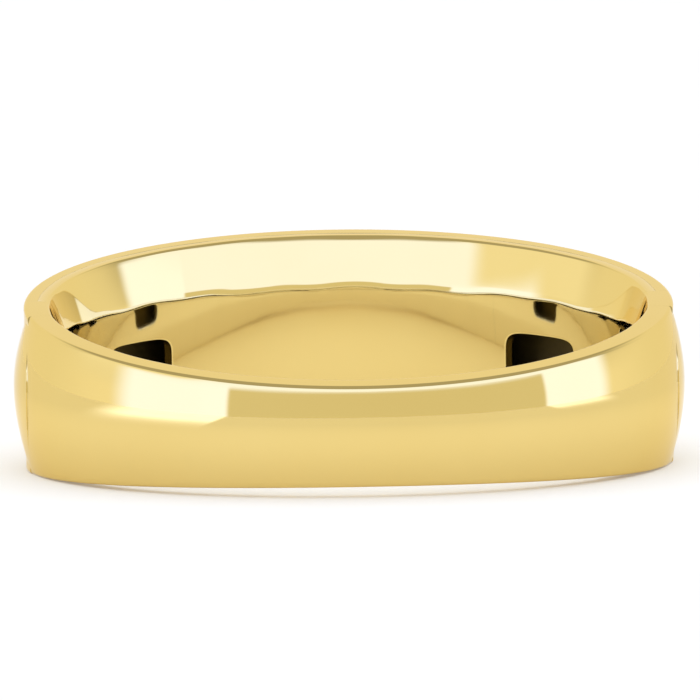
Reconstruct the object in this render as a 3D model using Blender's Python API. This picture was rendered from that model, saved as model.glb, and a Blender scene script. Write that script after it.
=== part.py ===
"""A yellow gold wedding band with a raised hollow head, lying on its side.

The band is drawn around its own axis first. Angles run round that axis from the
middle of the head, and a level runs across the band from -1 at the lower rim to
+1 at the upper rim. The finished band is then tilted a little, so that its lower
rim lies flat on the ground at z = 0.
"""

import math

import bmesh
import bpy
from mathutils import Euler, Matrix, Vector

MM = 0.001

# Finger hole and width of the band
BORE_RADIUS = 9.45 * MM         # across the straight middle of the finger hole
BORE_SHIFT = 0.15 * MM          # its middle lies this far towards the palm
MOUTH_RADIUS = 9.90 * MM        # of the flared finger hole, at the rims
FLARE_LEVEL = 0.52              # where the hole starts to flare
FLARE_START = 0.75              # slope of the flare at its start, as a share of its mean
HALF_WIDTH = 2.73 * MM          # at the sides of the finger
WIDTH_GAIN = 0.0712             # growth of the half width per length towards the head
PALM_EASE = 3.0                 # loss of the half width per squared metre on the palm side

# Outer radii
HEAD_CREST = 11.11 * MM         # top of the raised dome, at the sides of the finger
HEAD_CREST_GAIN = 0.10 * MM     # extra radius of the dome in the middle of the head
HEAD_EDGE_DROP = 0.29 * MM      # from the crest to the edge of the raised dome
SHOULDER_EDGE_DROP = 0.38 * MM  # the same where the dome is full width
RIM_RADIUS = 10.62 * MM         # outer edge of the flat rim, at the sides
RIM_GAIN = 0.21 * MM            # extra radius of the rim in the middle of the head
SHANK_CREST = 11.07 * MM        # where the shank meets the shoulders
PALM_CREST = 10.90 * MM         # in the middle of the palm side
SHANK_EDGE_DROP = 0.36 * MM     # from the shank's crest to its rounded edge, at the seam
PALM_EDGE_DROP = 0.21 * MM
EDGE_RISE = 0.12 * MM           # the rounded edge stands this far out from the rim
EDGE_DEPTH = 0.15 * MM          # and reaches this far down from it

# Raised dome and its borders
BORDER_WIDTH = 0.90 * MM
SMALLEST_BORDER = 0.20 * MM
STEP_SLOPE = 0.03 * MM          # the step from border to dome leans by this much
FULL_DOME_ANGLE = 101.0         # degrees: from here to the seam the dome is full width
HOLLOW_ANGLE = 86.0             # degrees: the hollow head ends and the shoulder starts
SEAM_ANGLE = 105.0              # degrees: shoulder meets shank, at the crest
SEAM_BOW = 7.0                  # degrees that the seam draws back at the rims

# Walls of the hollow head, and the windows through its lining
LINING_WALL = 0.38 * MM
DOME_WALL = 0.40 * MM
WEB_ANGLE = 3.2                 # degrees covered by the web
WINDOW_ANGLE = 46.9             # degrees from the middle of the head
WINDOW_LENGTH = 3.1 * MM
WINDOW_HEIGHT = 1.6 * MM
WINDOW_DROP = 0.40 * MM         # below the middle of the band
WINDOW_CORNER = 0.4 * MM
WINDOW_CORNER_STEPS = 4

JOINT_GAP = 0.01 * MM           # solder joint between neighbouring pieces
DEGREES_PER_STEP = 3.0
ARCH_COLUMNS = 10               # across the arch of the shank or of the dome
STRAIGHT_COLUMNS = 4            # across the straight middle of the lining
FLARE_COLUMNS = 3               # across each of its flared edges
SMOOTH_ANGLE = math.radians(30)

TILT = math.atan(WIDTH_GAIN)

POLISHED_GOLD = ((0.83, 0.62, 0.24, 1.0), 0.12)
INNER_GOLD = ((0.80, 0.58, 0.21, 1.0), 0.10)
CAST_GOLD = ((0.42, 0.29, 0.10, 1.0), 0.55)


def smooth_step(value):
    """Ease a value from 0 to 1 with level ends."""
    clamped = min(max(value, 0.0), 1.0)
    return clamped * clamped * (3.0 - 2.0 * clamped)


def blend(start, end, amount):
    return start + (end - start) * amount


def half_width(along):
    """Half the band's width at a distance along from the axis towards the head."""
    palm_side = min(along, 0.0)
    return HALF_WIDTH + WIDTH_GAIN * along - PALM_EASE * palm_side * palm_side


def on_band(radius, angle, level):
    """The point at a radius, an angle in degrees and a level across the band."""
    turn = math.radians(angle)
    along = radius * math.cos(turn)
    return Vector((radius * math.sin(turn), along, level * half_width(along)))


def gap_angle():
    """Degrees taken up by one joint gap."""
    return math.degrees(JOINT_GAP / BORE_RADIUS)


def bore_radius(angle, level):
    """The finger hole: straight across its middle, then flared towards both rims."""
    straight = BORE_RADIUS - BORE_SHIFT * math.cos(math.radians(angle))
    flare = max(abs(level) - FLARE_LEVEL, 0.0) / (1.0 - FLARE_LEVEL)
    opening = flare * (FLARE_START + (1.0 - FLARE_START) * flare)
    return blend(straight, MOUTH_RADIUS, opening)


# Outline of the head and the shank

def headward(angle):
    """1 in the middle of the head, falling to 0 at the sides of the finger."""
    return max(math.cos(math.radians(angle)), 0.0) ** 2


def level_below_rim(distance, angle):
    """The level of a line that runs at a distance from the rim."""
    along = RIM_RADIUS * math.cos(math.radians(angle))
    return 1.0 - distance / half_width(along)


def rim_radius(angle):
    return RIM_RADIUS + RIM_GAIN * headward(angle)


def border_radius(angle):
    return rim_radius(angle) + EDGE_RISE


def bordered(angle):
    """How far the border has opened: 0 on the full dome, 1 on the hollow head."""
    return smooth_step((FULL_DOME_ANGLE - abs(angle)) / (FULL_DOME_ANGLE - HOLLOW_ANGLE))


def border_level(angle, extra=0.0):
    """The level of the border's inner edge, or of a line further in by extra."""
    width = blend(SMALLEST_BORDER, BORDER_WIDTH, bordered(angle))
    return level_below_rim(width + extra, angle)


def dome_radius(angle, level):
    """The raised dome: a shallow arch that falls from its crest to its edges."""
    crest = HEAD_CREST + HEAD_CREST_GAIN * headward(angle)
    drop = blend(SHOULDER_EDGE_DROP, HEAD_EDGE_DROP, bordered(angle))
    across = level / border_level(angle, STEP_SLOPE)
    return crest - drop * across * across


def shank_radius(angle, level):
    """The plain shank: one arch with rounded edges, thinner towards the palm."""
    to_palm = smooth_step((abs(angle) - SEAM_ANGLE) / (180.0 - SEAM_ANGLE))
    crest = blend(SHANK_CREST, PALM_CREST, to_palm)
    drop = blend(SHANK_EDGE_DROP, PALM_EDGE_DROP, to_palm)
    across = level / level_below_rim(EDGE_DEPTH, angle)
    if abs(across) > 1.0:
        return crest - drop - EDGE_RISE
    return crest - drop * across * across


def seam_angle(level):
    """The seam between shoulder and shank bows towards the palm in the middle."""
    return SEAM_ANGLE - SEAM_BOW * level * level


# Building

def finish(name, colour, roughness):
    """A metal of its own for one piece."""
    material = bpy.data.materials.new(name)
    material.use_nodes = True
    shader = material.node_tree.nodes["Principled BSDF"]
    shader.inputs["Base Color"].default_value = colour
    shader.inputs["Roughness"].default_value = roughness
    shader.inputs["Metallic"].default_value = 1.0
    return material


def face_outwards(shape):
    bmesh.ops.recalc_face_normals(shape, faces=shape.faces)
    if shape.calc_volume(signed=True) < 0.0:
        bmesh.ops.reverse_faces(shape, faces=shape.faces)


def add_piece(name, shape, gold, axis):
    """Turn a bmesh into a named object that hangs on the band's axis."""
    face_outwards(shape)
    mesh = bpy.data.meshes.new(name)
    shape.to_mesh(mesh)
    shape.free()
    mesh.shade_smooth()
    mesh.set_sharp_from_angle(angle=SMOOTH_ANGLE)
    mesh.materials.append(finish(name + "_finish", *gold))
    piece = bpy.data.objects.new(name, mesh)
    bpy.context.scene.collection.objects.link(piece)
    piece.parent = axis
    return piece


def slab(steps, columns, inner, outer):
    """A bent plate: a grid is extruded, then every corner goes to its own place.

    inner and outer give the place of the corner at a fraction round the piece
    and a fraction across it, both from 0 to 1.
    """
    shape = bmesh.new()
    bmesh.ops.create_grid(shape, x_segments=steps, y_segments=columns, size=0.5)
    skin = bmesh.ops.extrude_face_region(shape, geom=shape.faces[:])["geom"]
    for corner in skin:
        if isinstance(corner, bmesh.types.BMVert):
            corner.co.z = 1.0
    for corner in shape.verts:
        place = outer if corner.co.z > 0.5 else inner
        corner.co = place(corner.co.x + 0.5, corner.co.y + 0.5)
    return shape


def steps_over(degrees):
    return max(2, round(degrees / DEGREES_PER_STEP))


def build_shank(axis):
    """The solid lower shank, from one seam round the palm to the other."""
    columns = ARCH_COLUMNS + 2

    def level_at(across, angle):
        """The rim, the rounded edge, the arch, and the same again."""
        column = round(across * columns)
        if column in (0, columns):
            return 2.0 * across - 1.0
        edge = level_below_rim(EDGE_DEPTH, angle)
        return edge * (2.0 * (column - 1) / ARCH_COLUMNS - 1.0)

    def place(radius_at):
        def corner(round_it, across):
            level = level_at(across, blend(SEAM_ANGLE, 360.0 - SEAM_ANGLE, round_it))
            first = seam_angle(level) + gap_angle()
            angle = blend(first, 360.0 - first, round_it)
            turned = angle - 360.0 if angle > 180.0 else angle
            return on_band(radius_at(turned, level), angle, level)
        return corner

    steps = steps_over(360.0 - 2.0 * SEAM_ANGLE)
    shape = slab(steps, columns, place(bore_radius), place(shank_radius))
    return add_piece("palm_shank", shape, POLISHED_GOLD, axis)


def build_shoulder(name, side, axis):
    """A solid shoulder, where the full dome draws in and the borders begin."""
    border_columns = 3
    columns = ARCH_COLUMNS + 2 * border_columns

    def level_and_radius(across, angle):
        """The rim, the rounded edge, the border, the dome, and the same again."""
        column = round(across * columns)
        from_rim = min(column, columns - column)
        sign = -1.0 if column < columns / 2 else 1.0
        if from_rim == 0:
            return sign, rim_radius(angle)
        if from_rim == 1:
            return sign * level_below_rim(EDGE_DEPTH, angle), border_radius(angle)
        if from_rim == 2:
            return sign * border_level(angle), border_radius(angle)
        edge = border_level(angle, STEP_SLOPE)
        level = edge * (2.0 * (column - border_columns) / ARCH_COLUMNS - 1.0)
        return level, dome_radius(angle, level)

    def place(on_bore):
        def corner(round_it, across):
            nominal = blend(HOLLOW_ANGLE, SEAM_ANGLE, round_it)
            level, radius = level_and_radius(across, nominal)
            angle = blend(HOLLOW_ANGLE, seam_angle(level), round_it)
            if on_bore:
                radius = bore_radius(angle, level)
            return on_band(radius, side * angle, level)
        return corner

    shape = slab(steps_over(2.0 * (SEAM_ANGLE - HOLLOW_ANGLE)), columns, place(True), place(False))
    return add_piece(name, shape, POLISHED_GOLD, axis)


def hollow_slab(columns, level_at, inner_radius, outer_radius, reach=HOLLOW_ANGLE):
    """A plate of the hollow head: the same reach on both sides of its middle.

    level_at gives the level at an angle and a fraction across the plate.
    """
    half = reach - gap_angle()

    def place(radius_at):
        def corner(round_it, across):
            angle = blend(-half, half, round_it)
            level = level_at(angle, across)
            return on_band(radius_at(angle, level), angle, level)
        return corner

    return slab(steps_over(2.0 * half), columns, place(inner_radius), place(outer_radius))


def lining_radius(angle, level):
    return bore_radius(angle, level) + LINING_WALL


def over_lining_radius(angle, level):
    return lining_radius(angle, level) + JOINT_GAP


def under_dome_radius(angle, level):
    return dome_radius(angle, level) - DOME_WALL


def build_window_cutter(side, axis):
    """A block with rounded corners that stands through the lining."""
    shape = bmesh.new()
    size = Matrix.Diagonal((WINDOW_LENGTH, 4.0 * LINING_WALL, WINDOW_HEIGHT, 1.0))
    bmesh.ops.create_cube(shape, size=1.0, matrix=size)
    through = [edge for edge in shape.edges if edge.verts[0].co.y * edge.verts[1].co.y < 0.0]
    bmesh.ops.bevel(shape, geom=through, offset=WINDOW_CORNER, segments=WINDOW_CORNER_STEPS,
                    profile=0.5, affect="EDGES")
    face_outwards(shape)
    mesh = bpy.data.meshes.new("window_cutter")
    shape.to_mesh(mesh)
    shape.free()
    cutter = bpy.data.objects.new("window_cutter", mesh)
    bpy.context.scene.collection.objects.link(cutter)
    turn = side * math.radians(WINDOW_ANGLE)
    middle = lining_radius(WINDOW_ANGLE, 0.0)
    cutter.location = (middle * math.sin(turn), middle * math.cos(turn), -WINDOW_DROP)
    cutter.rotation_euler = (0.0, 0.0, -turn)
    cutter.hide_render = True
    cutter.display_type = "WIRE"
    cutter.parent = axis
    return cutter


def build_lining(axis):
    """The inner wall of the head, with a window into each half of the hollow."""
    columns = STRAIGHT_COLUMNS + 2 * FLARE_COLUMNS

    def level_at(angle, across):
        """Even columns across the straight middle, and even ones across the flares."""
        from_middle = abs(2.0 * across - 1.0) * columns
        level = FLARE_LEVEL * from_middle / STRAIGHT_COLUMNS
        if from_middle > STRAIGHT_COLUMNS:
            flare = (from_middle - STRAIGHT_COLUMNS) / (columns - STRAIGHT_COLUMNS)
            level = blend(FLARE_LEVEL, 1.0, flare)
        return math.copysign(level, across - 0.5)

    shape = hollow_slab(columns, level_at, bore_radius, lining_radius)
    lining = add_piece("head_lining", shape, INNER_GOLD, axis)
    for side in (-1, 1):
        window = lining.modifiers.new("window", "BOOLEAN")
        window.operation = "DIFFERENCE"
        window.object = build_window_cutter(side, axis)
    return lining


def build_rail(name, side, axis):
    """A rim rail, which closes one edge of the hollow and shows as its border."""
    def level_at(angle, across):
        """The rim, the rounded edge and the border's inner edge."""
        depth = (0.0, EDGE_DEPTH, BORDER_WIDTH - JOINT_GAP)[round(2.0 * across)]
        return side * level_below_rim(depth, angle)

    def radius_at(angle, level):
        return rim_radius(angle) if abs(level) == 1.0 else border_radius(angle)

    shape = hollow_slab(2, level_at, over_lining_radius, radius_at)
    return add_piece(name, shape, POLISHED_GOLD, axis)


def dome_level(angle, across):
    return border_level(angle, STEP_SLOPE) * (2.0 * across - 1.0)


def build_dome(axis):
    """The raised dome plate between the two rails."""
    shape = hollow_slab(ARCH_COLUMNS, dome_level, under_dome_radius, dome_radius)
    return add_piece("head_dome", shape, POLISHED_GOLD, axis)


def build_web(axis):
    """The wall across the middle of the hollow, which parts it in two."""
    def top(angle, level):
        return under_dome_radius(angle, level) - JOINT_GAP

    shape = hollow_slab(ARCH_COLUMNS, dome_level, over_lining_radius, top, WEB_ANGLE / 2.0)
    return add_piece("centre_web", shape, CAST_GOLD, axis)


def clear_scene():
    for item in list(bpy.data.objects):
        bpy.data.objects.remove(item)


def build_band():
    """Every piece hangs on the band's axis, which leans so that the rim lies flat."""
    clear_scene()
    axis = bpy.data.objects.new("band_axis", None)
    bpy.context.scene.collection.objects.link(axis)
    axis.location = (0.0, 0.0, HALF_WIDTH * math.cos(TILT))
    axis.rotation_euler = Euler((TILT, 0.0, 0.0))
    build_shank(axis)
    build_shoulder("left_shoulder", -1, axis)
    build_shoulder("right_shoulder", 1, axis)
    build_lining(axis)
    build_rail("upper_rail", 1, axis)
    build_rail("lower_rail", -1, axis)
    build_dome(axis)
    build_web(axis)


build_band()
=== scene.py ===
"""Looks for a yellow gold wedding band whose wide head is raised and hollow.

The band lies on its side. Its surfaces are worked out round its own axis, where an
angle of 0 degrees is the middle of the head and 180 the middle of the palm side,
and are then leant over so that the lower rim lies flat on the floor.
"""

import logging
import math
from dataclasses import dataclass, field
from enum import Enum
from typing import Callable

import bpy
import numpy as np
from mathutils import Matrix, Vector


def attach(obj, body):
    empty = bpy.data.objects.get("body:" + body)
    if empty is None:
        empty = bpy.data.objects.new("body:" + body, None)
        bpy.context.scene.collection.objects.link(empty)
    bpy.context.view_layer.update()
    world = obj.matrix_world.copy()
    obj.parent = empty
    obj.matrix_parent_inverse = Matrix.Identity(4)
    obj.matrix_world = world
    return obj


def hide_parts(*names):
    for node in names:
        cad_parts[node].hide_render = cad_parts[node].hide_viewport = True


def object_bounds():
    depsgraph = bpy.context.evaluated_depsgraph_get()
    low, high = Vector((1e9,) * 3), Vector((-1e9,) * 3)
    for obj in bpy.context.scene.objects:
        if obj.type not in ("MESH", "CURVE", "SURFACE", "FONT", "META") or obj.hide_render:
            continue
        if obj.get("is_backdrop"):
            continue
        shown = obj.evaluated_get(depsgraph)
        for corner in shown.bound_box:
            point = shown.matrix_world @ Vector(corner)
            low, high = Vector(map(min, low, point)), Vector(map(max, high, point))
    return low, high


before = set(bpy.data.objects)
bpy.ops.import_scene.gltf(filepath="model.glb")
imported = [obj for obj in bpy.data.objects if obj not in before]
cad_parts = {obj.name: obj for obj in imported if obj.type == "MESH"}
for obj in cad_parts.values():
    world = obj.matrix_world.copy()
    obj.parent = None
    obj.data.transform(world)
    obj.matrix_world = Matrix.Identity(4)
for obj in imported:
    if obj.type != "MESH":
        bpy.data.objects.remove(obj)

log = logging.getLogger("band")

MM = 0.001
BODY = "root"
SHARP_ANGLE = math.radians(32)

Colour = tuple[float, float, float]
Span = tuple[float, float]
Line = tuple[np.ndarray, np.ndarray]
Turning = Callable[[np.ndarray], np.ndarray]


class Skin(Enum):
    """Which finish a face of a piece takes: its place in the piece's material list."""

    POLISHED = 0
    # rough faces inside the hollow head, whose near-black colour is painted shade
    RAW_IN_PAINTED_SHADE = 1


def blend(start: np.ndarray, end: np.ndarray, amount: np.ndarray) -> np.ndarray:
    """Straight mix of two values."""
    return start + (end - start) * amount


def smooth_step(value: np.ndarray) -> np.ndarray:
    """Ease from 0 to 1 with level ends: 3v^2 - 2v^3."""
    clamped = np.clip(value, 0.0, 1.0)
    return clamped * clamped * (3.0 - 2.0 * clamped)


def add_object(name: str, data: bpy.types.ID) -> bpy.types.Object:
    """A new object, linked to the scene.

    Args:
        name: Its name.
        data: Its mesh or camera.

    Returns:
        The object, at the origin.
    """
    made = bpy.data.objects.new(name, data)
    bpy.context.scene.collection.objects.link(made)
    return made


def column(values: np.ndarray) -> np.ndarray:
    """A row of values as a column, so that it spreads over the points of each section."""
    return np.asarray(values, float).reshape(-1, 1)


@dataclass(frozen=True)
class BandShape:
    """Outline of the band. Lengths are metres, angles are degrees from the head's middle.

    A level is a height as a share of half the width there: 0 is the band's middle
    plane, and -1 and 1 are its two rims. A wave of the ridge is its count round the
    band, its phase in radians and its height in levels.
    """

    crest: float
    half_width: float
    axis_height: float
    wall_at_crest: float = 1.21 * MM
    width_gain: float = 0.0712
    palm_ease: float = 3.0
    crest_gain: float = 0.10 * MM
    rim_below_crest: float = 0.49 * MM
    rim_gain: float = 0.21 * MM
    dome_drop: float = 0.29 * MM
    shoulder_drop: float = 0.38 * MM
    shank_step: float = 0.04 * MM
    palm_step: float = 0.21 * MM
    shank_drop: float = 0.36 * MM
    palm_drop: float = 0.21 * MM
    edge_rise: float = 0.12 * MM
    edge_depth: float = 0.10 * MM
    bore_step: float = 0.45 * MM
    bore_shift: float = 0.15 * MM
    flare_level: float = 0.52
    flare_start: float = 0.88
    ridge_waves: tuple[tuple[float, float, float], ...] = ((9.0, 1.0, 0.010), (23.0, 0.0, 0.007))
    ridge: float = 0.015
    bore_edge: float = 0.11 * MM
    border_width: float = 0.90 * MM
    smallest_border: float = 0.20 * MM
    step_width: float = 0.10 * MM
    full_dome_angle: float = 101.0
    hollow_angle: float = 86.0
    seam_angle: float = 105.0
    seam_bow: float = 7.0
    lining_wall: float = 0.38 * MM
    dome_wall: float = 0.40 * MM
    joint: float = 0.004 * MM

    @classmethod
    def from_frame(cls) -> "BandShape":
        """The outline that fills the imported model's box.

        Returns:
            The shape, with its crest, half width and axis height read from the frame.
        """
        low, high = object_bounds()
        crest = (high[0] - low[0]) / 2.0
        tilt = math.atan(cls.width_gain)
        head_rim = crest - cls.rim_below_crest + cls.rim_gain
        half_width = (high[2] - low[2]) / (2.0 * math.cos(tilt)) - head_rim * cls.width_gain
        return cls(crest, half_width, low[2] + half_width * math.cos(tilt))

    @property
    def tilt(self) -> float:
        """How far the band's axis leans, in radians."""
        return math.atan(self.width_gain)

    @property
    def mouth(self) -> float:
        """Radius of the finger hole at its rims, where it is widest."""
        return self.crest - self.wall_at_crest

    @property
    def gap(self) -> float:
        """Angle of the gap that a solder joint leaves between two pieces."""
        return math.degrees(self.joint / self.mouth)

    def head_angles(self, stations: int) -> np.ndarray:
        """Stations of the hollow head, from shoulder to shoulder."""
        reach = self.hollow_angle - self.gap
        return np.linspace(-reach, reach, stations)

    def straight(self, angle: np.ndarray) -> np.ndarray:
        """Radius of the straight middle of the finger hole, from the band's axis."""
        return self.mouth - self.bore_step - self.bore_shift * np.cos(np.radians(angle))

    def ridge_level(self, angle: np.ndarray) -> np.ndarray:
        """Level of the ridge where the flare starts. Buffed by hand, it wanders as a sum of sines.

        Args:
            angle: Degrees from the head's middle.

        Returns:
            The level for each angle.
        """
        turn = np.radians(angle)
        wander = sum(height * np.sin(count * turn + phase) for count, phase, height in self.ridge_waves)
        return self.flare_level + wander

    def bore_at(self, angle: np.ndarray, level: np.ndarray) -> np.ndarray:
        """Radius of the finger hole: straight across its middle, then flared.

        The distance past the ridge is x, made smooth as (x + sqrt(x^2 + r^2)) / 2,
        and the flare opens with a x + (1 - a) x^2.

        Args:
            angle: Degrees from the head's middle.
            level: Level from -1 to 1.

        Returns:
            The radius for each pair of them.
        """
        past = np.abs(level) - self.ridge_level(angle)
        flare = (past + np.sqrt(past**2 + self.ridge**2)) / 2.0 / (1.0 - self.flare_level)
        opening = flare * (self.flare_start + (1.0 - self.flare_start) * flare)
        return blend(self.straight(angle), self.mouth, opening)

    def mouth_slope(self, angle: np.ndarray) -> np.ndarray:
        """How much the finger hole widens per height at its rims: the flare's last slope."""
        length = self.width_round(self.mouth, angle) * (1.0 - self.flare_level)
        return (2.0 - self.flare_start) * (self.mouth - self.straight(angle)) / length

    def width_at(self, along: np.ndarray) -> np.ndarray:
        """Half the width at a distance from the axis towards the head.

        It grows in a straight line towards the head, and on the palm side it also
        loses the square of the distance.

        Args:
            along: The distance, negative on the palm side.

        Returns:
            Half the width for each distance.
        """
        palm_side = np.minimum(along, 0.0)
        return self.half_width + self.width_gain * along - self.palm_ease * palm_side**2

    def width_round(self, radius: np.ndarray, angle: np.ndarray) -> np.ndarray:
        """Half the width at a radius and an angle."""
        return self.width_at(radius * np.cos(np.radians(angle)))

    def headward(self, angle: np.ndarray) -> np.ndarray:
        """1 in the middle of the head, falling as a squared cosine to 0 at the sides."""
        return np.maximum(np.cos(np.radians(angle)), 0.0) ** 2

    def rim(self, angle: np.ndarray) -> np.ndarray:
        """Outer radius of the flat rim of head and shoulders."""
        return self.crest - self.rim_below_crest + self.rim_gain * self.headward(angle)

    def border(self, angle: np.ndarray) -> np.ndarray:
        """Radius of the flat border beside the dome."""
        return self.rim(angle) + self.edge_rise

    def opened(self, angle: np.ndarray) -> np.ndarray:
        """How far the border has opened: 0 on the full dome, 1 on the hollow head."""
        span = self.full_dome_angle - self.hollow_angle
        return smooth_step((self.full_dome_angle - np.abs(angle)) / span)

    def dome_crest(self, angle: np.ndarray) -> np.ndarray:
        """Radius of the dome's highest line."""
        return self.crest + self.crest_gain * self.headward(angle)

    def seam(self, level: np.ndarray) -> np.ndarray:
        """Angle of the seam at a level from -1 to 1: it draws back at the rims."""
        return self.seam_angle - self.seam_bow * level**2

    def place(self, radius: np.ndarray, angle: np.ndarray, height: np.ndarray) -> np.ndarray:
        """Points of the standing band, in the frame's own axes.

        Args:
            radius: Distance from the band's axis.
            angle: Degrees round the axis from the head's middle.
            height: Distance from the band's middle plane.

        Returns:
            The points, after the band is leant over on its lower rim.
        """
        turn = np.radians(angle)
        across = radius * np.sin(turn)
        along = radius * np.cos(turn)
        cos_tilt, sin_tilt = math.cos(self.tilt), math.sin(self.tilt)
        back = along * cos_tilt - height * sin_tilt
        up = along * sin_tilt + height * cos_tilt + self.axis_height
        return np.stack(np.broadcast_arrays(across, back, up), axis=-1)


@dataclass(frozen=True)
class SectionLines:
    """Lines across the band, from its middle plane up to the upper rim.

    Each is a pair of arrays, radius and height, with a row for each angle.
    """

    shape: BandShape
    arch_points: int = 27
    step_points: int = 7
    border_points: int = 4
    edge_points: int = 8
    rim_margin: float = 0.02 * MM

    def arch(self, crest: np.ndarray, drop: np.ndarray, reach: np.ndarray) -> Line:
        """A shallow arch, whose radius falls with the square of the height.

        Args:
            crest: Radius in the middle plane.
            drop: How far the radius falls to the end.
            reach: Height of the end.

        Returns:
            The line.
        """
        share = np.linspace(0.0, 1.0, self.arch_points)
        return column(crest) - column(drop) * share**2, column(reach) * share

    def rounded_edge(self, angle: np.ndarray, rim: np.ndarray, slope: np.ndarray) -> Line:
        """The outer edge, rounded as part of an ellipse, and a strip of the flat rim.

        The ellipse starts level on the rim and ends where its slope meets the line
        below it, which is where cos t / (1 + cos t) = slope * depth / rise.

        Args:
            angle: The angles of the sections.
            rim: Outer radius of the flat rim.
            slope: How steeply the line below falls towards the edge.

        Returns:
            The line, which ends on the rim.
        """
        shape = self.shape
        share = slope * shape.edge_depth / shape.edge_rise
        last = np.arccos(share / (1.0 - share))
        turn = column(last) * np.linspace(1.0, 0.0, self.edge_points)
        rise = column(shape.edge_rise / np.sin(last))
        depth = column(shape.edge_depth / (1.0 - np.cos(last)))
        radius = column(rim) + rise * np.sin(turn)
        height = shape.width_round(radius, column(angle)) - depth * (1.0 - np.cos(turn))
        strip = column(rim) - self.rim_margin
        strip_height = shape.width_round(strip, column(angle))
        return np.hstack((radius, strip)), np.hstack((height, strip_height))

    def dome(self, angle: np.ndarray) -> tuple[Line, Line, Line]:
        """The raised dome, the step down from it, and the flat border beside it.

        The step blends the two radii with 3 t^2 - 2 t^3, plus t (1 - t)^2 times the
        dome's own slope, so that it leaves the dome without a kink.

        Args:
            angle: The angles of the sections.

        Returns:
            The three lines, which follow each other.
        """
        shape = self.shape
        opened = shape.opened(angle)
        border = blend(shape.smallest_border, shape.border_width, opened)
        drop = blend(shape.shoulder_drop, shape.dome_drop, opened)
        crest, foot = shape.dome_crest(angle), shape.border(angle)
        rim_height = shape.width_round(foot, angle)
        reach = rim_height - border - shape.step_width
        arch = self.arch(crest, drop, reach)
        share = np.linspace(0.0, 1.0, self.step_points)
        start_slope = -2.0 * drop / reach * shape.step_width
        ease = 3.0 * share**2 - 2.0 * share**3
        start_pull = share * (1.0 - share) ** 2
        radius = column(crest - drop) * (1.0 - ease) + column(foot) * ease
        radius = radius + column(start_slope) * start_pull
        step = radius, column(reach) + shape.step_width * share
        flat_share = np.linspace(0.0, 1.0, self.border_points)
        flat_height = column(rim_height - border) + column(border - shape.edge_depth) * flat_share
        flat = column(foot) + 0.0 * flat_share, flat_height
        return arch, step, flat

    def bore(self, angle: np.ndarray, points: int) -> Line:
        """The wall of the finger hole and its rounded edge, up to a strip of the rim.

        The edge is part of a circle, from the wall's slope to the plane of the rim.

        Args:
            angle: The angles of the sections.
            points: How many points the whole line has.

        Returns:
            The line, which ends on the rim.
        """
        shape = self.shape
        first_turn = np.arctan(shape.mouth_slope(angle))
        rim_height = shape.width_round(shape.mouth, angle)
        straight_height = rim_height - shape.bore_edge * (1.0 - np.sin(first_turn))
        share = np.linspace(0.0, 1.0, points - self.edge_points)
        wall_height = column(straight_height) * share
        wall = shape.bore_at(column(angle), wall_height / column(rim_height))
        turn = blend(column(first_turn), math.pi / 2.0, np.linspace(0.0, 1.0, self.edge_points)[1:])
        bend = wall[:, -1:] + shape.bore_edge * (np.cos(column(first_turn)) - np.cos(turn))
        bend_height = shape.width_round(bend, column(angle)) - shape.bore_edge * (1.0 - np.sin(turn))
        strip = bend[:, -1:] + self.rim_margin
        strip_height = shape.width_round(strip, column(angle))
        radius = np.hstack((wall, bend, strip))
        height = np.hstack((wall_height, bend_height, strip_height))
        return radius, height


def join_lines(*lines: Line) -> Line:
    """Lines that follow each other, as one.

    Args:
        lines: The lines, each of which starts where the one before it ends.

    Returns:
        The whole line, with no point twice.
    """
    radius = [lines[0][0]] + [line[0][:, 1:] for line in lines[1:]]
    height = [lines[0][1]] + [line[1][:, 1:] for line in lines[1:]]
    return np.hstack(radius), np.hstack(height)


def mirror_line(line: Line) -> Line:
    """A line from the middle plane to the upper rim, made to run from rim to rim."""
    radius, height = line
    return np.hstack((radius[:, :0:-1], radius)), np.hstack((-height[:, :0:-1], height))


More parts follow.
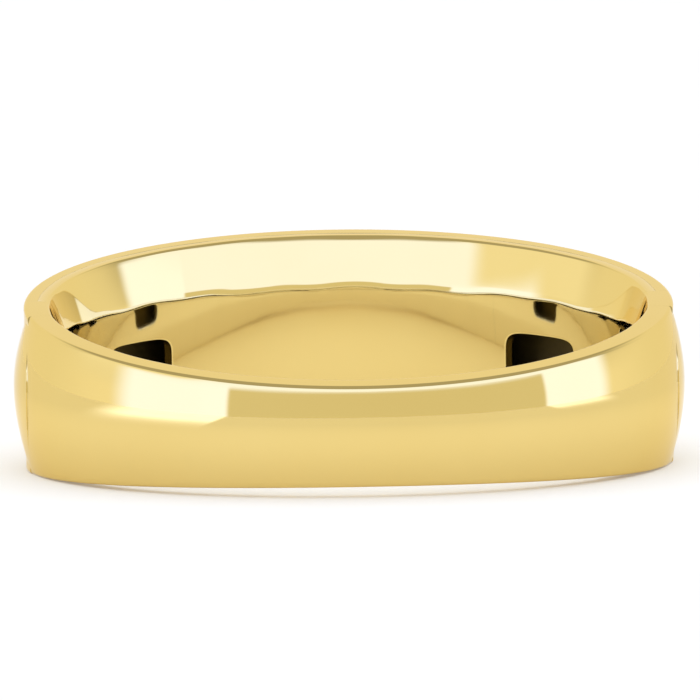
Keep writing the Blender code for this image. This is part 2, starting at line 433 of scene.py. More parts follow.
@dataclass
class PieceMesh:
    """Points and faces of one closed piece, gathered as whole arrays."""

    name: str
    points: list[np.ndarray] = field(default_factory=list)
    faces: list[np.ndarray] = field(default_factory=list)
    skins: list[np.ndarray] = field(default_factory=list)
    count: int = 0

    def add_points(self, points: np.ndarray) -> np.ndarray:
        """Store points.

        Args:
            points: The points, in any arrangement.

        Returns:
            Their numbers, in the same arrangement.
        """
        flat = points.reshape(-1, 3)
        numbers = np.arange(self.count, self.count + len(flat)).reshape(points.shape[:-1])
        self.points.append(flat)
        self.count += len(flat)
        return numbers

    def add_faces(self, corners: np.ndarray, skin: Skin) -> None:
        """Store four-cornered faces, given as rows of point numbers."""
        self.faces.append(corners.reshape(-1, 4))
        self.skins.append(np.full(corners.size // 4, skin.value))

    def add_sheet(self, numbers: np.ndarray, skin: Skin, keep: np.ndarray | None = None) -> None:
        """Faces between neighbouring points of a grid.

        Args:
            numbers: Point numbers, one row for each station.
            skin: The finish of these faces.
            keep: Which cells of the grid get a face; all of them without it.
        """
        corners = np.stack(
            (numbers[:-1, :-1], numbers[1:, :-1], numbers[1:, 1:], numbers[:-1, 1:]), axis=-1
        )
        if keep is not None:
            corners = corners[keep]
        self.add_faces(corners, skin)

    def add_slab(
        self, outer: np.ndarray, inner: np.ndarray, skins: tuple[Skin, Skin], keep: np.ndarray | None = None
    ) -> tuple[np.ndarray, np.ndarray]:
        """A bent plate: two sheets, and the four sides that close them.

        Args:
            outer: Points of the outer face: stations, then points across, then x, y, z.
            inner: Points of the inner face in the same arrangement.
            skins: The finishes of the outer and the inner face.
            keep: Which cells of both faces are made; all of them without it.

        Returns:
            The point numbers of the outer and of the inner face.
        """
        top, under = self.add_points(outer), self.add_points(inner)
        self.add_sheet(top, skins[0], keep)
        self.add_sheet(under[:, ::-1], skins[1], None if keep is None else keep[:, ::-1])
        self.add_sheet(np.stack((under[:, 0], top[:, 0]), axis=1), Skin.POLISHED)
        self.add_sheet(np.stack((top[:, -1], under[:, -1]), axis=1), Skin.POLISHED)
        self.add_sheet(np.stack((top[0], under[0]), axis=1), Skin.POLISHED)
        self.add_sheet(np.stack((under[-1], top[-1]), axis=1), Skin.POLISHED)
        return top, under

    def build(self, materials: list[bpy.types.Material]) -> bpy.types.Object:
        """Make the object, with smooth shading broken at its sharp edges.

        Args:
            materials: The finishes, in the order of Skin.

        Returns:
            The new object at the origin, linked to the scene.
        """
        points = np.vstack(self.points)
        faces = np.vstack(self.faces)
        if signed_volume(points, faces) < 0.0:
            faces = faces[:, ::-1]
        mesh = bpy.data.meshes.new(self.name)
        mesh.from_pydata(points.tolist(), [], faces.tolist())
        mesh.polygons.foreach_set("material_index", np.concatenate(self.skins).astype(np.int32))
        mesh.shade_smooth()
        mesh.set_sharp_from_angle(angle=SHARP_ANGLE)
        for material in materials:
            mesh.materials.append(material)
        mesh.validate()
        piece = add_object(self.name, mesh)
        log.info("%s: %d points, %d faces", self.name, len(points), len(faces))
        return piece


def signed_volume(points: np.ndarray, faces: np.ndarray) -> float:
    """Volume inside a closed mesh, as a sum of tetrahedra.

    Args:
        points: The points.
        faces: The four corners of each face.

    Returns:
        The volume, negative when the faces point inwards.
    """
    first, second, third, fourth = (points[faces[:, corner]] for corner in range(4))
    halves = np.cross(second, third) + np.cross(third, fourth)
    return float(np.einsum("ij,ij->", first, halves)) / 6.0


@dataclass(frozen=True)
class SeamEdge:
    """The softened edge on both sides of the seam between shank and shoulder."""

    size: float = 0.012 * MM
    at_crest: float = 0.15
    stations: int = 7
    fine_reach: float = 1.2

    def dip(self, distance: np.ndarray, level: np.ndarray) -> np.ndarray:
        """How far the surface falls beside the seam: a quarter circle, smaller at the crest.

        Args:
            distance: Distance from the seam.
            level: Level from -1 to 1.

        Returns:
            The fall for each pair of them.
        """
        size = self.size * blend(self.at_crest, 1.0, level**2)
        near = np.clip(1.0 - distance / size, 0.0, 1.0)
        return size * (1.0 - np.sqrt(1.0 - near**2))

    def near_stations(self, length: float) -> np.ndarray:
        """Extra stations close to the seam, as fractions of a piece's length."""
        return np.linspace(0.0, self.fine_reach * self.size / length, self.stations)


@dataclass
class Shank:
    """The solid lower shank and the two shoulders that carry the head."""

    shape: BandShape
    lines: SectionLines
    materials: list[bpy.types.Material]
    seam_edge: SeamEdge = SeamEdge()
    shank_stations: int = 220
    shoulder_stations: int = 40

    def shank_line(self, angle: np.ndarray) -> Line:
        """The plain arch of the shank, which thins towards the palm.

        Args:
            angle: The angles of the sections.

        Returns:
            The line, from the middle plane to the rim.
        """
        shape = self.shape
        to_palm = smooth_step((np.abs(angle) - shape.seam_angle) / (180.0 - shape.seam_angle))
        crest = shape.crest - blend(shape.shank_step, shape.palm_step, to_palm)
        drop = blend(shape.shank_drop, shape.palm_drop, to_palm)
        edge = crest - drop
        reach = shape.width_round(edge, angle) - shape.edge_depth
        arch = self.lines.arch(crest, drop, reach)
        slope = 2.0 * drop / reach
        rounded = self.lines.rounded_edge(angle, edge - shape.edge_rise, slope)
        return join_lines(arch, rounded)

    def shoulder_line(self, angle: np.ndarray) -> Line:
        """The dome with its step, border and rounded edge.

        Args:
            angle: The angles of the sections.

        Returns:
            The line, from the middle plane to the rim.
        """
        arch, step, flat = self.lines.dome(angle)
        rounded = self.lines.rounded_edge(angle, self.shape.rim(angle), np.zeros_like(angle))
        return join_lines(arch, step, flat, rounded)

    def bend(self, line: Line, level: np.ndarray, angle: np.ndarray, seam_side: bool) -> np.ndarray:
        """Place a section line, with its edge softened where it meets the seam.

        Args:
            line: Radius and height of the line at each station.
            level: Level from -1 to 1 of every point of the line.
            angle: Degrees from the head's middle for every point of the line.
            seam_side: Whether the surface dips at the seam.

        Returns:
            The placed points, with each height set again from its level.
        """
        radius = line[0]
        height = level * self.shape.width_round(radius, angle)
        if seam_side:
            distance = np.radians(np.abs(self.fold(angle) - self.shape.seam(level))) * radius
            radius = radius - self.seam_edge.dip(distance, level)
        return self.shape.place(radius, angle, height)

    def fold(self, angle: np.ndarray) -> np.ndarray:
        """An angle from 0 to 360 as its distance from the head's middle."""
        return np.where(np.abs(angle) > 180.0, 360.0 - np.abs(angle), np.abs(angle))

    def level_of(self, line: Line, angle: np.ndarray) -> np.ndarray:
        """Level from -1 to 1 of each point of a line."""
        radius, height = line
        return height / self.shape.width_round(radius, column(angle))

    def build_solid(self, name: str, nominal: np.ndarray, outer: Line, turned: Turning) -> bpy.types.Object:
        """A solid stretch of the band, between its outer surface and the finger hole.

        Args:
            name: Name of the piece.
            nominal: Angle that each station's section is worked out for.
            outer: The outer line at each station, from the middle plane to the rim.
            turned: Gives the true angle of every point from its level.

        Returns:
            The new piece.
        """
        inner = self.lines.bore(nominal, outer[0].shape[1])
        faces = []
        for half_line, dips in ((outer, True), (inner, False)):
            line = mirror_line(half_line)
            level = self.level_of(line, nominal)
            faces.append(self.bend(line, level, turned(level), dips))
        piece = PieceMesh(name)
        piece.add_slab(*faces, (Skin.POLISHED, Skin.POLISHED))
        return piece.build(self.materials)

    def build_shank(self) -> bpy.types.Object:
        """The lower shank from seam to seam, round the palm side.

        Returns:
            The new piece.
        """
        shape = self.shape
        length = math.radians(360.0 - 2.0 * shape.seam_angle) * shape.crest
        near = self.seam_edge.near_stations(length)
        middle = np.linspace(near[-1], 1.0 - near[-1], self.shank_stations)[1:-1]
        share = np.concatenate((near, middle, 1.0 - near[::-1]))
        nominal = self.fold(blend(shape.seam_angle, 360.0 - shape.seam_angle, share))

        def turned(level: np.ndarray) -> np.ndarray:
            """Angles from one seam, as it bows, to the other."""
            first = shape.seam(level) + shape.gap
            return blend(first, 360.0 - first, column(share))

        return self.build_solid("lower_shank", nominal, self.shank_line(nominal), turned)

    def build_shoulder(self, side: int, name: str) -> bpy.types.Object:
        """One shoulder, from the hollow head to the seam.

        Args:
            side: -1 for the left shoulder, 1 for the right.
            name: Name of the piece.

        Returns:
            The new piece.
        """
        shape = self.shape
        length = math.radians(shape.seam_angle - shape.hollow_angle) * shape.crest
        near = self.seam_edge.near_stations(length)
        coarse = np.linspace(0.0, 1.0 - near[-1], self.shoulder_stations)[:-1]
        share = np.concatenate((coarse, 1.0 - near[::-1]))
        nominal = blend(shape.hollow_angle, shape.seam_angle, share)

        def turned(level: np.ndarray) -> np.ndarray:
            """Angles from the hollow head to the seam, as it bows."""
            return side * blend(shape.hollow_angle, shape.seam(level), column(share))

        return self.build_solid(name, nominal, self.shoulder_line(nominal), turned)

    def build(self) -> dict[str, bpy.types.Object]:
        """Every piece of this sub-assembly, by the CAD node that it stands for."""
        return {
            "palm_shank": self.build_shank(),
            "left_shoulder": self.build_shoulder(-1, "shoulder_on_the_left"),
            "right_shoulder": self.build_shoulder(1, "shoulder_on_the_right"),
        }


@dataclass(frozen=True)
class Window:
    """A window through the lining: a rounded rectangle in a patch of finer faces."""

    angle: float = 46.9
    drop: float = 0.40 * MM
    half_length: float = 1.55 * MM
    half_height: float = 0.80 * MM
    squareness: float = 5.0
    edge: float = 0.05 * MM
    edge_points: int = 6
    rings: int = 11
    wall_steps: tuple[float, ...] = (0.3, 0.65, 0.95, 1.0)
    patch_half_angle: float = 13.0
    patch_half_height: float = 1.45 * MM

    def outline(self, across: np.ndarray, height: np.ndarray, wider: float) -> tuple[np.ndarray, np.ndarray]:
        """Points of the outline, in the directions of given points.

        The outline is |x / a|^n + |y / b|^n = 1, which is a rectangle with round
        corners. Wider moves it outwards along its own normal, which is in the
        direction of (x^(n - 1) / a^n, y^(n - 1) / b^n).

        Args:
            across: Distances from the window's middle along the band.
            height: Distances from its middle across the band.
            wider: How far the outline is moved outwards.

        Returns:
            The points' distances along and across the band.
        """
        power, a, b = self.squareness, self.half_length, self.half_height
        scale = (np.abs(across / a) ** power + np.abs(height / b) ** power) ** (-1.0 / power)
        x, y = across * scale, height * scale
        normal_x = np.sign(x) * np.abs(x / a) ** (power - 1.0) / a
        normal_y = np.sign(y) * np.abs(y / b) ** (power - 1.0) / b
        length = np.hypot(normal_x, normal_y)
        return x + wider * normal_x / length, y + wider * normal_y / length


def loop_round(rows: tuple[int, int], columns: tuple[int, int]) -> tuple[np.ndarray, np.ndarray]:
    """The grid positions along the edge of a block of a grid, once round.

    Args:
        rows: First and last row of the block.
        columns: First and last column of the block.

    Returns:
        The row and the column of each position.
    """
    down = np.arange(rows[0], rows[1])
    along = np.arange(columns[0], columns[1])
    row = (down, np.full(along.size, rows[1]), down[::-1] + 1, np.full(along.size, rows[0]))
    column_ = (np.full(down.size, columns[0]), along, np.full(down.size, columns[1]), along[::-1] + 1)
    return np.concatenate(row), np.concatenate(column_)


@dataclass
class Lining:
    """The inner wall of the head: a thin bent plate with a window into each hollow."""

    shape: BandShape
    lines: SectionLines
    materials: list[bpy.types.Material]
    window: Window = Window()
    stations: int = 272
    points_to_rim: int = 38

    def add_window(self, piece: PieceMesh, angle: np.ndarray, faces: list[Line], numbers: list[np.ndarray],
                   block: tuple[tuple[int, int], tuple[int, int]], middle: float) -> None:
        """Close one block of missing cells with a ring-shaped surface through the wall.

        The rings start on the block's edge on the bore, draw in to the window's
        rounded edge, go through the wall and spread out again on its back.

        Args:
            piece: The mesh that gets the faces.
            angle: Angles of the stations.
            faces: Radius and height of the bore face and of the back.
            numbers: Point numbers of the bore face and of the back.
            block: First and last row and first and last column of the missing cells.
            middle: Angle of the window's middle.
        """
        shape, window = self.shape, self.window
        row, across = loop_round(*block)
        to_length = math.radians(1.0) * shape.straight(middle)
        edge_x = (angle[row] - middle) * to_length
        edge_y = faces[0][1][row, across] + window.drop
        back_y = faces[1][1][row, across] + window.drop
        draw_in = 1.0 - (1.0 - np.linspace(0.0, 1.0, window.rings)) ** 2
        turn = np.linspace(0.0, math.pi / 2.0, window.edge_points)[1:]
        depth = np.array(window.wall_steps)
        line = window.outline(edge_x, edge_y, 0.0)
        wide = window.outline(edge_x, edge_y, window.edge)
        x, y = (
            np.hstack((
                blend(column(edge), column(wide[axis]), draw_in),
                blend(column(line[axis]), column(wide[axis]), 1.0 - np.sin(turn)),
                np.repeat(column(line[axis]), depth.size, axis=1),
                blend(column(back), column(line[axis]), draw_in)[:, -2::-1],
            ))
            for axis, edge, back in ((0, edge_x, edge_x), (1, edge_y, back_y))
        )
        deep = np.concatenate((
            0.0 * draw_in,
            window.edge * (1.0 - np.cos(turn)),
            blend(window.edge, shape.lining_wall, depth),
            np.full(window.rings - 1, shape.lining_wall),
        ))
        turned = middle + x / to_length
        height = y - window.drop
        radius = shape.bore_at(turned, height / shape.width_round(shape.mouth, turned)) + deep
        seen = window.rings + turn.size + depth.size
        inside = piece.add_points(shape.place(radius, turned, height)[:, 1:-1])
        ring = np.hstack((column(numbers[0][row, across]), inside, column(numbers[1][row, across])))
        ring = np.vstack((ring, ring[:1])).astype(int)[:, ::-1]
        hidden = ring.shape[1] - seen
        # painted shade: the inner part of the window's wall and the back of the lining are painted near-black
        piece.add_sheet(ring[:, : hidden + 1], Skin.RAW_IN_PAINTED_SHADE)
        piece.add_sheet(ring[:, hidden:], Skin.POLISHED)

    def build(self) -> dict[str, bpy.types.Object]:
        """The lining, by the CAD node that it stands for.

        Returns:
            The piece, under its node's name.
        """
        shape, window = self.shape, self.window
        angle = shape.head_angles(self.stations)
        bore = mirror_line(self.lines.bore(angle, self.points_to_rim))
        level = bore[1] / shape.width_round(bore[0], column(angle))
        back_radius = shape.bore_at(column(angle), level) + shape.lining_wall
        back = back_radius, level * shape.width_round(back_radius, column(angle))
        keep = np.ones((self.stations - 1, bore[0].shape[1] - 1), bool)
        middle_height = bore[1][self.stations // 2]
        columns = np.nonzero(np.abs(middle_height + window.drop) < window.patch_half_height)[0]
        blocks = {}
        for middle in (-window.angle, window.angle):
            rows = np.nonzero(np.abs(angle - middle) < window.patch_half_angle)[0]
            blocks[middle] = (rows[0], rows[-1]), (columns[0], columns[-1])
            keep[rows[0] : rows[-1], columns[0] : columns[-1]] = False
        piece = PieceMesh("lining_with_windows")
        top, under = piece.add_slab(
            shape.place(back[0], column(angle), back[1]),
            shape.place(bore[0], column(angle), bore[1]),
            # painted shade: the back of the lining is painted near-black
            (Skin.RAW_IN_PAINTED_SHADE, Skin.POLISHED),
            keep,
        )
        for middle, block in blocks.items():
            self.add_window(piece, angle, [bore, back], [under, top], block, middle)
        return {"head_lining": piece.build(self.materials)}


@dataclass
class HollowHead:
    """What closes the hollow of the head: the dome plate, two rim rails and the web inside."""

    shape: BandShape
    lines: SectionLines
    materials: list[bpy.types.Material]
    stations: int = 260
    web_half_angle: float = 1.6
    web_stations: int = 9

    def over_lining(self, angle: np.ndarray, height: np.ndarray) -> np.ndarray:
        """Radius just clear of the lining's outer face.

        Args:
            angle: The angles of the sections.
            height: Height of each point from the middle plane.

        Returns:
            The radius of each point.
        """
        level = height / self.shape.width_round(self.shape.mouth, column(angle))
        bore = self.shape.bore_at(column(angle), np.clip(level, -1.0, 1.0))
        return bore + self.shape.lining_wall + self.shape.joint

    def build_plate(
        self, name: str, angle: np.ndarray, outer: Line, inner: Line, top: Skin
    ) -> bpy.types.Object:
        """One bent plate of the head, never polished underneath, where it is painted near-black as painted
        shade.

        Args:
            name: Name of the piece.
            angle: The angles of the sections.
            outer: Line of the outer face.
            inner: Line of the inner face.
            top: The finish of the outer face.

        Returns:
            The new piece.
        """
        faces = [self.shape.place(radius, column(angle), height) for radius, height in (outer, inner)]
        piece = PieceMesh(name)
        piece.add_slab(*faces, (top, Skin.RAW_IN_PAINTED_SHADE))
        return piece.build(self.materials)

    def build_dome(self) -> bpy.types.Object:
        """The dome plate with the step at each of its edges, on a back that follows its arch.

        Returns:
            The new piece.
        """
        angle = self.shape.head_angles(self.stations)
        arch, step, _ = self.lines.dome(angle)
        outer = mirror_line(join_lines(arch, step))
        under = mirror_line(arch)[0] - self.shape.dome_wall
        edge = np.repeat(under[:, :1], self.lines.step_points - 1, axis=1)
        inner = np.hstack((edge, under, edge)), outer[1]
        return self.build_plate("dome_plate", angle, outer, inner, Skin.POLISHED)

    def build_rail(self, side: int, name: str) -> bpy.types.Object:
        """One rim rail: the flat border and the rounded edge above it.

        Args:
            side: 1 for the upper rail, -1 for the lower.
            name: Name of the piece.

        Returns:
            The new piece.
        """
        angle = self.shape.head_angles(self.stations)
        _, _, flat = self.lines.dome(angle)
        rounded = self.lines.rounded_edge(angle, self.shape.rim(angle), np.zeros_like(angle))
        radius, height = join_lines(flat, rounded)
        height[:, 0] += self.shape.joint
        lining_edge = self.shape.mouth + self.shape.lining_wall + self.shape.joint
        top = self.shape.width_round(lining_edge, column(angle))
        share = (height - height[:, :1]) / (height[:, -1:] - height[:, :1])
        inner_height = blend(height[:, :1], top, share)
        inner = self.over_lining(angle, inner_height), side * inner_height
        return self.build_plate(name, angle, (radius, side * height), inner, Skin.POLISHED)

    def build_web(self) -> bpy.types.Object:
        """The web across the middle of the hollow.

        Returns:
            The new piece.
        """
        angle = np.linspace(-self.web_half_angle, self.web_half_angle, self.web_stations)
        arch, _, _ = self.lines.dome(angle)
        radius, height = mirror_line(arch)
        outer = radius - self.shape.dome_wall - self.shape.joint, height
        inner = self.over_lining(angle, height), height
        return self.build_plate("web_in_the_hollow", angle, outer, inner, Skin.RAW_IN_PAINTED_SHADE)

    def build(self) -> dict[str, bpy.types.Object]:
        """Every piece of this sub-assembly, by the CAD node that it stands for."""
        return {
            "head_dome": self.build_dome(),
            "upper_rail": self.build_rail(1, "rail_of_the_upper_rim"),
            "lower_rail": self.build_rail(-1, "rail_of_the_lower_rim"),
            "centre_web": self.build_web(),
        }


@dataclass(frozen=True)
class Grain:
    """Size of a noise: grains per millimetre, finer layers, and how much finer it is along Z."""

    scale: float
    detail: float
    flatten: float = 1.0


class Shader:
    """The nodes of a material or of the world, with sums written as Python expressions."""

    def __init__(self, owner: bpy.types.Material | bpy.types.World) -> None:
        """Start with nothing but the output.

        Args:
            owner: The material or world that gets the nodes.
        """
        owner.use_nodes = True
        self.owner = owner
        self.tree = owner.node_tree
        self.tree.nodes.clear()
        output = "OutputWorld" if isinstance(owner, bpy.types.World) else "OutputMaterial"
        self.output = self.tree.nodes.new("ShaderNode" + output)

    def add(self, kind: str, settings: dict | None = None, **sockets: object) -> bpy.types.Node:
        """Any node.

        Args:
            kind: The node's type, without its ShaderNode prefix.
            settings: The node's own properties, which are set first.
            sockets: A value or a link for each input, by its name with _ for a space,
                or by its number after an "n".

        Returns:
            The new node.
        """
        node = self.tree.nodes.new("ShaderNode" + kind)
        for key, value in (settings or {}).items():
            setattr(node, key, value)
        for key, value in sockets.items():
            number = key[1:]
            place = int(number) if key[0] == "n" and number.isdigit() else key.replace("_", " ")
            socket = node.inputs[place]
            if isinstance(value, Signal):
                self.tree.links.new(value.socket, socket)
            else:
                socket.default_value = value
        return node

    def signal(self, node: bpy.types.Node, output: str | int = 0) -> "Signal":
        """One output of a node, ready for sums."""
        return Signal(self, node.outputs[output])

    def noise(self, where: "Signal", grain: Grain) -> "Signal":
        """Fractal noise from 0 to 1.

        Args:
            where: Object coordinates.
            grain: Its size.

        Returns:
            The noise.
        """
        size = grain.scale / MM
        spread = (size, size, size * grain.flatten)
        scaled = self.add("VectorMath", {"operation": "MULTIPLY"}, n0=where, n1=spread)
        node = self.add("TexNoise", None, Vector=self.signal(scaled), Scale=1.0, Detail=grain.detail)
        return self.signal(node, "Fac")

    def coordinates(self) -> "Signal":
        """Object coordinates."""
        return self.signal(self.add("TexCoord"), "Object")

    def mix_colours(self, amount: "Signal", first: "Colour | Signal", second: "Colour | Signal") -> "Signal":
        """A colour between two colours."""
        first, second = (part if isinstance(part, Signal) else (*part, 1.0) for part in (first, second))
        return self.signal(self.add("Mix", {"data_type": "RGBA"}, n0=amount, n6=first, n7=second), 2)

    def ease(self, value: "Signal", start: float, end: float) -> "Signal":
        """0 before the start, 1 after the end, with a smooth step between them."""
        node = self.add("MapRange", {"interpolation_type": "SMOOTHSTEP"}, n0=value, n1=start, n2=end)
        return self.signal(node)

    def wedge(self, x: "Signal", y: "Signal", azimuths: Span, softness: Span) -> "Signal":
        """1 between two azimuths and 0 outside them.

        Args:
            x: Part of the direction or place to the right.
            y: Its part away from the camera.
            azimuths: The wedge's sides in degrees, 0 towards the camera and growing to the right.
            softness: How far each side fades, to both sides of its azimuth, in degrees.

        Returns:
            The mask.
        """
        middle = math.radians(sum(azimuths) / 2.0)
        half = math.radians(azimuths[1] - azimuths[0]) / 2.0
        left, right = (math.radians(value) for value in softness)
        across = x * math.cos(middle) + y * math.sin(middle)
        turn = across.math("ARCTAN2", across, x * math.sin(middle) - y * math.cos(middle))
        return self.ease(turn, -half - left, left - half) * self.ease(turn, half + right, half - right)

    def finish(self, kind: str = "BsdfPrincipled", **sockets: object) -> bpy.types.Material | bpy.types.World:
        """Close the nodes with a shader.

        Args:
            kind: The shader's type, without its ShaderNode prefix.
            sockets: Its inputs, as in add.

        Returns:
            The material or world.
        """
        node = self.add(kind, None, **sockets)
        self.tree.links.new(node.outputs[0], self.output.inputs["Surface"])
        return self.owner


@dataclass(frozen=True)
class Signal:
    """A number that varies over a surface. Sums with it add Math nodes."""

    shader: Shader
    socket: bpy.types.NodeSocket

    def math(self, operation: str, first: object, second: object) -> "Signal":
        """One Math node on two numbers or signals."""
        node = self.shader.add("Math", {"operation": operation}, n0=first, n1=second)
        return self.shader.signal(node)

    def __add__(self, other: object) -> "Signal":
        """Sum."""
        return self.math("ADD", self, other)

    __radd__ = __add__

    def __mul__(self, other: object) -> "Signal":
        """Product."""
        return self.math("MULTIPLY", self, other)

    __rmul__ = __mul__

    def __sub__(self, other: object) -> "Signal":
        """Difference."""
        return self.math("SUBTRACT", self, other)

    def __rsub__(self, other: object) -> "Signal":
        """Difference from something else."""
        return self.math("SUBTRACT", other, self)

    def __pow__(self, power: float) -> "Signal":
        """Power."""
        return self.math("POWER", self, power)


@dataclass(frozen=True)
class PolishedGold:
    """Buffed yellow gold: a slow wave left by the wheel, and very fine hairlines.

    Where gold is seen mirrored in gold, its colour is painted near-white. This painted reflection keeps it
    pale, so that it doesn't turn orange.
    """

    name: str = "polished_gold"
    pale: Colour = (0.80, 0.61, 0.225)
    deep: Colour = (0.78, 0.585, 0.205)
    # painted reflection: the near-white colour the gold takes wherever it is seen mirrored in gold
    mirrored: Colour = (0.94, 0.93, 0.90)
    edge_tint: Colour = (0.95, 0.86, 0.64)
    roughness: float = 0.035
    wave: Grain = Grain(0.35, 2.0)
    wave_height: float = 0.004 * MM
    hairline: Grain = Grain(6.0, 3.0, 8.0)
    hairline_roughness: float = 0.03
    hairline_height: float = 0.00004 * MM

    def build(self) -> bpy.types.Material:
        """Make the material.

        Returns:
            The new material.
        """
        shader = Shader(bpy.data.materials.new(self.name))
        where = shader.coordinates()
        cloud = shader.noise(where, self.wave)
        hairlines = shader.noise(where, self.hairline)
        roughness = self.roughness + self.hairline_roughness * hairlines**2.0
        wave = shader.add("Bump", None, Strength=1.0, Distance=self.wave_height, Height=cloud)
        fine = shader.add(
            "Bump", None, Strength=1.0, Distance=self.hairline_height, Height=hairlines,
            Normal=shader.signal(wave),
        )
        tone = shader.mix_colours(cloud, self.pale, self.deep)
        # painted reflection: in a reflection the gold is painted with the near-white mirrored colour instead
        # of its own
        mirrored = shader.signal(shader.add("LightPath"), "Is Glossy Ray")
        return shader.finish(
            Base_Color=shader.mix_colours(mirrored, tone, self.mirrored),
            Metallic=1.0, Roughness=roughness, Specular_Tint=(*self.edge_tint, 1.0),
            Normal=shader.signal(fine),
        )


@dataclass(frozen=True)
class CastGoldInPaintedShade:
    """Rough gold as it came from the mould, for the hidden insides of the hollow head. Its near-black colour
    is painted shade for the dark inside the hollow, mottled at random between two dark tones.
    """

    name: str = "cast_gold_in_painted_shade"
    # painted shade: both tones are near-black, standing in for the dark inside the hollow
    light: Colour = (0.16, 0.11, 0.03)
    dark: Colour = (0.05, 0.035, 0.012)
    roughness: float = 0.45
    grain_roughness: float = 0.2
    grain: Grain = Grain(5.0, 4.0)
    grain_height: float = 0.006 * MM
    shade_cloud: Grain = Grain(0.7, 3.0)

    def build(self) -> bpy.types.Material:
        """Make the material.

        Returns:
            The new material.
        """
        shader = Shader(bpy.data.materials.new(self.name))
        where = shader.coordinates()
        grain = shader.noise(where, self.grain)
        shade_cloud = shader.noise(where, self.shade_cloud)
        bump = shader.add("Bump", None, Strength=1.0, Distance=self.grain_height, Height=grain)
        return shader.finish(
            # painted shade: the near-black base colour, mixed at random by noise
            Base_Color=shader.mix_colours(shade_cloud, self.light, self.dark),
            Metallic=1.0, Roughness=self.roughness + self.grain_roughness * grain,
            Normal=shader.signal(bump),
        )


@dataclass(frozen=True)
class LightPool:
    """A glowing part of the floor, painted light that no lamp casts: a ring, or a wedge of one. Angles are
    degrees, lengths metres.
    """

    radiance: Colour
    reach: Span
    azimuths: Span | None = None
    softness: Span = (1.0, 1.0)

    def mask(self, shader: Shader, x: "Signal", y: "Signal") -> "Signal":
        """1 inside and 0 outside, easing in along its reach from the band's axis.

        Args:
            shader: The floor's nodes.
            x: Place to the right.
            y: Place away from the camera.

        Returns:
            The mask.
        """
        ring = shader.ease((x * x + y * y) ** 0.5, *self.reach)
        if self.azimuths is None:
            return ring
        return ring * shader.wedge(x, y, self.azimuths, self.softness)


@dataclass(frozen=True)
class FloorPaintWithGlow:
    """Matt white paint, with pools of painted light glowing in it: round the band, inside it, left and right.
    """

    name: str = "floor_paint_with_glow"
    light: Colour = (0.93, 0.93, 0.93)
    dark: Colour = (0.91, 0.91, 0.91)
    cloud: Grain = Grain(0.02, 2.0)
    roughness: float = 0.7
    gloss: float = 0.1
    pools: tuple[LightPool, ...] = (
        # painted light: a glow round the band that fills in its contact shadow, a glow inside the ring, and
        # two glowing wedges that the gold mirrors as painted highlights
        LightPool((0.11, 0.11, 0.12), (0.0400, 0.0120)),
        LightPool((0.20, 0.20, 0.20), (0.0106, 0.0098)),
        LightPool((0.85, 1.05, 2.00), (0.022, 0.055), (-84.0, -43.5), (10.0, 1.0)),
        LightPool((0.65, 0.80, 1.50), (0.045, 0.130), (67.0, 92.0), (1.0, 5.0)),
    )

    def build(self) -> bpy.types.Material:
        """Make the material.

        Returns:
            The new material.
        """
        shader = Shader(bpy.data.materials.new(self.name))
        where = shader.coordinates()
        cloud = shader.noise(where, self.cloud)
        way = shader.add("SeparateXYZ", None, Vector=where)
        x, y = shader.signal(way, 0), shader.signal(way, 1)
        glow = (0.0, 0.0, 0.0)
        for pool in self.pools:
            # painted light: each pool adds its glow to the floor's emission
            glow = shader.mix_colours(pool.mask(shader, x, y), glow, pool.radiance)
        return shader.finish(
            Base_Color=shader.mix_colours(cloud, self.light, self.dark),
            Roughness=self.roughness, Specular_IOR_Level=self.gloss,
            Emission_Color=glow, Emission_Strength=1.0,
        )


@dataclass(frozen=True)
class SkyPatch:
    """A soft-edged patch of the light round the band, as a soft box would make it.

    Azimuth 0 is on the camera's side and grows to the right, elevation 0 is the
    horizon, and both are degrees. An edge fades over its softness to both sides.
    Without azimuths the patch goes all the way round.
    """

    radiance: Colour
    elevations: Span
    rise_softness: Span = (2.0, 2.0)
    azimuths: Span | None = None
    side_softness: Span = (3.0, 3.0)

    def mask(self, sky: Shader, direction: tuple["Signal", "Signal", "Signal"]) -> "Signal":
        """1 inside the patch and 0 outside: the product of a smooth step at each edge.

        Args:
            sky: The world's nodes.
            direction: The parts x, y and z of the direction that is looked in.

        Returns:
            The mask.
        """
        x, y, z = direction
        rise = z.math("ARCSINE", z, 0.0)
        under, over = (math.radians(value) for value in self.rise_softness)
        low, high = (math.radians(value) for value in self.elevations)
        band = sky.ease(rise, low - under, low + under) * sky.ease(rise, high + over, high - over)
        if self.azimuths is None:
            return band
        return band * sky.wedge(x, y, self.azimuths, self.side_softness)


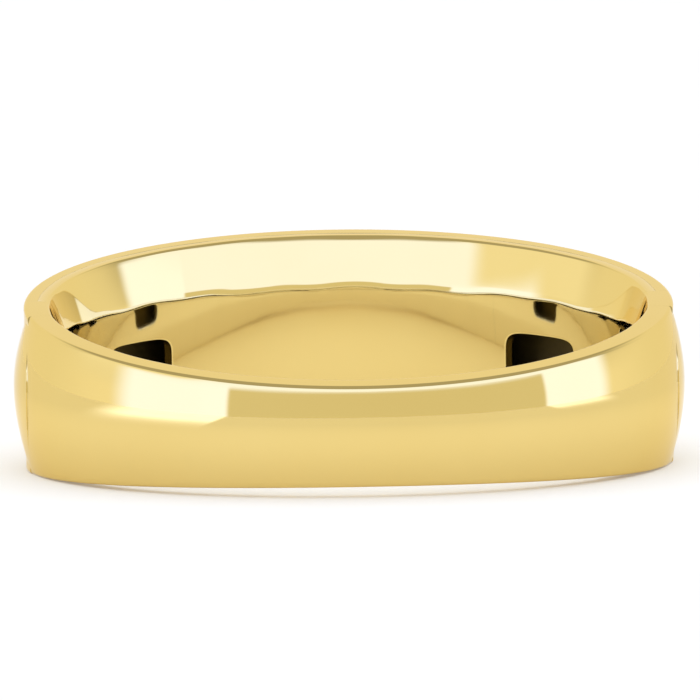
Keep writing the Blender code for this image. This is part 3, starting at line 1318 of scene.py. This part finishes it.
@dataclass(frozen=True)
class Sky:
    """The light round the band: even white on matt surfaces, soft patches in the gold.

    The patches lie on each other in order, over a dim ceiling: light near the
    horizon, a pale wall behind, a grey one in front, a soft box on the left, a wide
    one high in front, and a low bright one on each side.
    """

    even: float = 1.12
    ceiling: Colour = (0.52, 0.52, 0.52)
    patches: tuple[SkyPatch, ...] = (
        SkyPatch((1.15, 1.15, 1.15), (-89.0, 17.0), (1.0, 12.0)),
        SkyPatch((1.04, 1.04, 1.02), (-89.0, 40.0), (1.0, 8.0), (110.0, 250.0), (20.0, 20.0)),
        SkyPatch((0.88, 0.87, 0.80), (-89.0, 16.0), (1.0, 2.0), (-43.5, 67.0), (1.0, 1.0)),
        SkyPatch((1.14, 1.17, 1.25), (10.0, 36.0), (6.0, 5.0), (-112.0, -48.0), (10.0, 6.0)),
        SkyPatch((1.30, 1.56, 2.95), (16.0, 34.0), (1.5, 3.0), (-58.0, 92.0), (7.0, 9.0)),
        SkyPatch((1.36, 1.66, 3.30), (-1.0, 19.0), (1.0, 4.0), (-86.0, -43.5), (6.0, 1.0)),
        SkyPatch((1.36, 1.66, 3.20), (-1.0, 24.0), (1.0, 4.0), (67.0, 95.0), (1.0, 4.0)),
    )

    def build(self) -> bpy.types.World:
        """Make the world, with the patches behind a switch that only reflections turn on.

        Returns:
            The new world.
        """
        world = bpy.data.worlds.new("studio")
        sky = Shader(world)
        way = sky.add("SeparateXYZ", None, Vector=sky.signal(sky.add("TexCoord"), "Generated"))
        direction = tuple(sky.signal(way, part) for part in range(3))
        seen = self.ceiling
        for patch in self.patches:
            seen = sky.mix_colours(patch.mask(sky, direction), seen, patch.radiance)
        glossy = sky.signal(sky.add("LightPath"), "Is Glossy Ray")
        light = sky.mix_colours(glossy, (self.even, self.even, self.even), seen)
        return sky.finish("Background", Color=light, Strength=1.0)


@dataclass
class Studio:
    """Floor, surrounding light and camera."""

    shape: BandShape
    sky: Sky = Sky()
    floor_radius: float = 0.6
    floor_sides: int = 96
    floor_rings: int = 14
    floor_hub: float = 0.02
    camera_distance: float = 0.300
    camera_elevation: float = 9.46
    camera_azimuth: float = 2.6
    camera_roll: float = 0.54
    aim_up: float = 1.070 * MM
    aim_right: float = 0.028 * MM
    lens: float = 465.8
    nearest: float = 0.01

    def build_floor(self) -> bpy.types.Object:
        """A round floor, as rings of faces whose radius grows with the square.

        Returns:
            The floor.
        """
        turn = np.linspace(0.0, 2.0 * math.pi, self.floor_sides + 1)[:-1]
        reach = self.floor_radius * np.linspace(self.floor_hub, 1.0, self.floor_rings) ** 2
        x = column(reach) * np.cos(turn)
        y = column(reach) * np.sin(turn)
        points = np.vstack((np.stack((x, y, 0.0 * x), axis=-1).reshape(-1, 3), np.zeros((1, 3))))
        ring = np.arange(x.size).reshape(x.shape)
        ring = np.hstack((ring, ring[:, :1]))
        cells = np.stack((ring[:-1, :-1], ring[1:, :-1], ring[1:, 1:], ring[:-1, 1:]), axis=-1)
        hub = np.stack((np.full(turn.size, x.size), ring[0, :-1], ring[0, 1:]), axis=-1)
        mesh = bpy.data.meshes.new("floor")
        mesh.from_pydata(points.tolist(), [], cells.reshape(-1, 4).tolist() + hub.tolist())
        mesh.materials.append(FloorPaintWithGlow().build())
        floor = add_object("floor", mesh)
        floor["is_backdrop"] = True
        return floor

    def build_camera(self) -> None:
        """A long lens that looks at the palm side, a little from above."""
        rise, side, roll = (
            math.radians(value) for value in (self.camera_elevation, self.camera_azimuth, self.camera_roll)
        )
        back = Vector((-math.sin(side) * math.cos(rise), -math.cos(side) * math.cos(rise), math.sin(rise)))
        lean = Matrix.Rotation(self.shape.tilt, 3, "X")
        back = lean @ back
        level_right = (lean @ Vector((0.0, 0.0, 1.0))).cross(back).normalized()
        level_up = back.cross(level_right)
        right = level_right * math.cos(roll) - level_up * math.sin(roll)
        up = level_right * math.sin(roll) + level_up * math.cos(roll)
        middle = Vector((0.0, 0.0, self.shape.axis_height))
        place = middle + back * self.camera_distance
        aim = middle + up * self.aim_up + right * self.aim_right
        z_axis = (place - aim).normalized()
        x_axis = up.cross(z_axis).normalized()
        y_axis = z_axis.cross(x_axis)
        camera = bpy.data.cameras.new("camera")
        camera.lens = self.lens
        camera.clip_start = self.nearest
        holder = add_object("camera", camera)
        turn = Matrix((x_axis, y_axis, z_axis)).transposed().to_4x4()
        holder.matrix_world = Matrix.Translation(place) @ turn
        bpy.context.scene.camera = holder

    def build(self) -> None:
        """Make everything round the band."""
        bpy.context.scene.view_settings.view_transform = "Standard"
        self.build_floor()
        bpy.context.scene.world = self.sky.build()
        self.build_camera()


class Slot(Enum):
    """The record's material slots."""

    POLISHED = "polished_gold"
    UNPOLISHED = "unpolished_gold"


def main() -> None:
    """Build the band's sub-assemblies in order, then the studio round them."""
    logging.basicConfig(level=logging.INFO, format="%(name)s: %(message)s")
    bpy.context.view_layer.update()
    shape = BandShape.from_frame()
    lines = SectionLines(shape)
    finishes = [PolishedGold().build(), CastGoldInPaintedShade().build()]
    for part in (Shank, HollowHead, Lining):
        for node, piece in part(shape, lines, finishes).build().items():
            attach(piece, BODY)
            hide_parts(node)
            raw = node == "centre_web"
            log.info("%s stands for %s", piece.name, node)
    Studio(shape).build()


if __name__ == "__main__":
    main()
